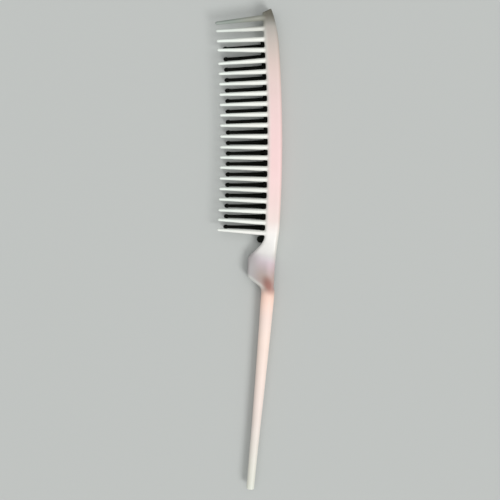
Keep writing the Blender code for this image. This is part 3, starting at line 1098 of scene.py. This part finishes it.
def palePlasticMaterial():
    material, tree = newMaterial("palePlastic")
    shader = tree.nodes["Principled BSDF"]
    place = tree.nodes.new("ShaderNodeTexCoord").outputs["Object"]
    x, y, z = splitNode(tree, place)
    tones = palePlastic

    def fromNeck(name):
        return spread(tree, y, tones[name], neckPoint.y)

    def fromTail(name):
        return spread(tree, y, tones[name], tailTop.y)

    # the core colour, down the spine, the thumb rest and the tail, with painted shade on the thumb
    # rest and at the head end
    alongRoot = mathNode(tree, "SUBTRACT", y, layout["crown"].y)
    fallBack = times(tree, alongRoot, alongRoot, tones["rootBend"])
    across = mathNode(tree, "ADD", mathNode(tree, "SUBTRACT", x, layout["crown"].x), fallBack)
    length = cadBox[1][1] - cadBox[0][1]
    stops = [(up / length + 0.5, colour) for up, colour in tones["core"]]
    inSlant = times(tree, fromNeck("slantUpper"), fromTail("slantLower"))
    slant = times(tree, mathNode(tree, "SUBTRACT", x, tones["slantMiddle"]), tones["slant"])
    slanted = mathNode(tree, "MULTIPLY_ADD", slant, inSlant, y)
    core = rampNode(tree, mathNode(tree, "MULTIPLY_ADD", slanted, 1 / length, 0.5), stops)

    # the teeth, up to where they run into the spine, with a painted green reflection towards their
    # tips and painted shade on the first tooth
    toTip = spread(tree, x, tones["toTip"])
    tooth = mixNode(tree, "MIX", toTip, tones["tooth"], tones["toothTipGreenReflection"])
    shadedHeadTooth = mixNode(tree, "MIX", toTip, tones["shadedHeadTooth"], tones["shadedHeadToothTip"])
    tooth = mixNode(tree, "MULTIPLY", spread(tree, y, tones["toHead"]), tooth, shadedHeadTooth)
    inSpine = spread(tree, across, tones["intoSpine"])
    coreShare = mathNode(tree, "MAXIMUM", inSpine, fromNeck("belowTeeth"))
    colour = mixNode(tree, "MIX", coreShare, tooth, core)

    # painted shade on the rounded outer edge of the spine and of the neck
    alongSpine = spread(tree, y, tones["edgeShadeAlong"])
    outerEdge = times(tree, spread(tree, across, tones["edgeShadeAcross"]), alongSpine)
    waistX, waistY, bend = tones["neckSide"]
    fromWaist = mathNode(tree, "SUBTRACT", y, waistY)
    sideX = mathNode(tree, "ADD", times(tree, fromWaist, fromWaist, bend), waistX)
    alongNeck = times(tree, spread(tree, y, tones["neckShadeBelow"]), spread(tree, y, tones["neckShadeAbove"]))
    inward = mathNode(tree, "SUBTRACT", sideX, x)
    neckEdge = times(tree, spread(tree, inward, tones["neckShadeAcross"]), alongNeck)
    edgeShadeShare = times(tree, mathNode(tree, "ADD", outerEdge, neckEdge), tones["edgeShadeShare"])
    colour = mixNode(tree, "MULTIPLY", edgeShadeShare, colour, tones["edge"])

    # the thumb rest: painted light on its outer side and painted shade on its inner side
    inRest = times(tree, fromNeck("restUpper"), fromTail("restLower"))
    outerLightShare = times(tree, inRest, spread(tree, x, tones["outerAcross"]), fromNeck("outerUpper"))
    colour = mixNode(tree, "MULTIPLY", outerLightShare, colour, tones["restOuterLight"])
    innerShadeShare = times(tree, inRest, spread(tree, x, tones["innerAcross"]))
    colour = mixNode(tree, "MIX", innerShadeShare, colour, tones["restInnerShade"])
    # a painted highlight along the slanting lower rim
    slope = (slantEnd - slantCorner).normalized()
    inward = times(tree, mathNode(tree, "SUBTRACT", x, slantCorner.x), -slope.y)
    upward = times(tree, mathNode(tree, "SUBTRACT", y, slantCorner.y), slope.x)
    atRim = spread(tree, mathNode(tree, "ADD", inward, upward), tones["rimAcross"])
    rimHighlightShare = times(tree, atRim, inRest, tones["rimHighlightShare"])
    colour = mixNode(tree, "MIX", rimHighlightShare, colour, tones["rimHighlight"])
    # painted red-brown shade where the tail starts
    inShadeSpot = spotNode(tree, place, tones["shadeSpotShape"])
    colour = mixNode(tree, "MULTIPLY", inShadeSpot, colour, tones["shadeSpot"])

    cloud = noiseNode(tree, place, tones["cloudScale"], noiseDetail["cloud"])
    colour = mixNode(tree, "MULTIPLY", 1.0, colour, rampNode(tree, cloud, tones["cloudTones"]))
    tree.links.new(colour, shader.inputs["Base Color"])
    shader.inputs["Coat Weight"].default_value = tones["coat"]
    shader.inputs["Coat Roughness"].default_value = tones["coatRoughness"]
    addFinish(tree, place, shader, cloud, tones)
    return material


blackPlastic = {
    "specular": 0.06,
    "cloudScale": 160,
    "cloudTones": ((0.35, (0.0022, 0.0027, 0.0016)), (0.75, (0.0050, 0.0055, 0.0040))),
    "roughness": (0.44, 0.60),
    "grain": (1600, 0.12, 0.00004),
}


def blackPlasticMaterial():
    material, tree = newMaterial("blackPlastic")
    shader = tree.nodes["Principled BSDF"]
    place = tree.nodes.new("ShaderNodeTexCoord").outputs["Object"]
    cloud = noiseNode(tree, place, blackPlastic["cloudScale"], noiseDetail["cloud"])
    tree.links.new(rampNode(tree, cloud, blackPlastic["cloudTones"]), shader.inputs["Base Color"])
    shader.inputs["Specular IOR Level"].default_value = blackPlastic["specular"]
    addFinish(tree, place, shader, cloud, blackPlastic)
    return material


# the pale moulding: plate, tail and front teeth in one
frontNumbers = range(1, layout["toothCount"] + 1)
frontPlaces = []
for number in frontNumbers:
    along = toothPlace(number) + frontTooth["shift"].get(number, 0)
    width = frontTooth["endWidth"] if number == 1 else 1
    frontPlaces.append((along, 0, math.radians(frontTooth["lean"].get(number, 0)), width))
teeth = copiesOfTooth(buildFrontTooth(), frontPlaces, frontTooth["axisHeight"])
comb = joined([buildPlate(), buildTail()] + teeth, "paleComb")
guide = ownCopy(comb)
fused(comb)
drawnOnto(comb, guide)
softenWaist(comb)
sagAtNeck(comb)
print("pale comb", len(comb.data.polygons), "faces")
channelTop = blackStrip["height"] + blackStrip["clearance"]
for tool in buildBackbone("channel", blackStrip["clearance"], -blackStrip["cutBelow"], channelTop):
    combine(comb, tool, "DIFFERENCE")
smoothShading(comb)
print("channel cut", len(comb.data.polygons), "faces")

# the black moulding: backbone, nub and rear teeth in one
gaps = range(blackStrip["firstGap"], layout["toothCount"])
rearPlaces = []
for gap in gaps:
    along = rearToothPlace(gap) + rearTooth["shift"]
    lean = rearTooth["lastLean"] * (gap - gaps[0]) / (gaps[-1] - gaps[0])
    rearPlaces.append((along, -blackStrip["proud"], math.radians(lean), 1))
rearTeeth = copiesOfTooth(buildRearTooth(), rearPlaces, rearTooth["axisHeight"])
strip, nub = buildBackbone("blackToothStrip", 0, 0, blackStrip["height"])
bevelled(strip)
bevelled(nub)
combine(strip, nub, "UNION")
combine(strip, joined(rearTeeth, "rearTeeth"), "UNION")
smoothShading(strip)
print("black strip", len(strip.data.polygons), "faces")

for piece, material in ((comb, palePlasticMaterial()), (strip, blackPlasticMaterial())):
    piece.data.materials.clear()
    piece.data.materials.append(material)
print("plastics ready")

frontNodes = [f"front_tooth_{number:02d}" for number in frontNumbers]
rearNodes = [f"rear_tooth_{number:02d}" for number in range(1, len(gaps) + 1)]
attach(comb, "root")
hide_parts("comb_body", *frontNodes)
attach(strip, "root")
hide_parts("tooth_strip", *rearNodes)


# floor, light and camera
studio = {
    "floorSize": 8.0,
    "floorHeight": -0.0001,
    "floorColour": (0.52, 0.54, 0.525),
    "floorRoughness": 0.8,
    # each lamp: the direction to it, its strength and its softness in degrees
    "keyLamp": ((0.44, -0.55, 0.71), 1.45, 24),
    "topLamp": ((0.0, 0.0, 1.0), 0.69, 70),
    "worldStrength": 0.45,
    "cameraFromCrown": Vector((-0.0084595, -0.05236, 0.470)),
    "lens": 69.7255,
    "sensorWidth": 36,
    "clipStart": 0.01,
}

bpy.ops.object.select_all(action="DESELECT")
bpy.ops.mesh.primitive_plane_add(size=studio["floorSize"], location=(0, 0, studio["floorHeight"]))
floor = named("floor")
floorMaterial, tree = newMaterial("paleFloor")
floorShader = tree.nodes["Principled BSDF"]
floorShader.inputs["Base Color"].default_value = (*studio["floorColour"], 1)
floorShader.inputs["Roughness"].default_value = studio["floorRoughness"]
floor.data.materials.append(floorMaterial)

for name in ("keyLamp", "topLamp"):
    fromSide, strength, softness = studio[name]
    bpy.ops.object.light_add(type="SUN", location=fromSide)
    lamp = bpy.context.object
    lamp.name = name
    lamp.data.energy = strength
    lamp.data.angle = math.radians(softness)
    lamp.rotation_euler = (-Vector(fromSide)).to_track_quat("-Z", "Y").to_euler()

# the world's light is white, but seen directly or in gloss it has the floor's colour
world = bpy.context.scene.world or bpy.data.worlds.new("studio")
bpy.context.scene.world = world
world.use_nodes = True
tree = world.node_tree
tree.nodes.clear()
output = tree.nodes.new("ShaderNodeOutputWorld")
lit = tree.nodes.new("ShaderNodeBackground")
lit.inputs[0].default_value = (1, 1, 1, 1)
lit.inputs[1].default_value = studio["worldStrength"]
seen = tree.nodes.new("ShaderNodeBackground")
seen.inputs[0].default_value = (*studio["floorColour"], 1)
seen.inputs[1].default_value = 1.0
path = tree.nodes.new("ShaderNodeLightPath")
direct = mathNode(tree, "MAXIMUM", path.outputs["Is Camera Ray"], path.outputs["Is Glossy Ray"])
direct = mathNode(tree, "MAXIMUM", direct, path.outputs["Is Transmission Ray"])
mix = tree.nodes.new("ShaderNodeMixShader")
for source, socket in zip((direct, lit.outputs[0], seen.outputs[0]), mix.inputs):
    tree.links.new(source, socket)
tree.links.new(mix.outputs[0], output.inputs[0])

bpy.ops.object.camera_add(location=layout["crown"] + studio["cameraFromCrown"], rotation=(0, 0, 0))
camera = bpy.context.object
camera.name = "photoCamera"
camera.data.sensor_width = studio["sensorWidth"]
camera.data.lens = studio["lens"]
camera.data.clip_start = studio["clipStart"]
bpy.context.scene.camera = camera
bpy.context.scene.view_settings.view_transform = "Standard"
print("studio ready")
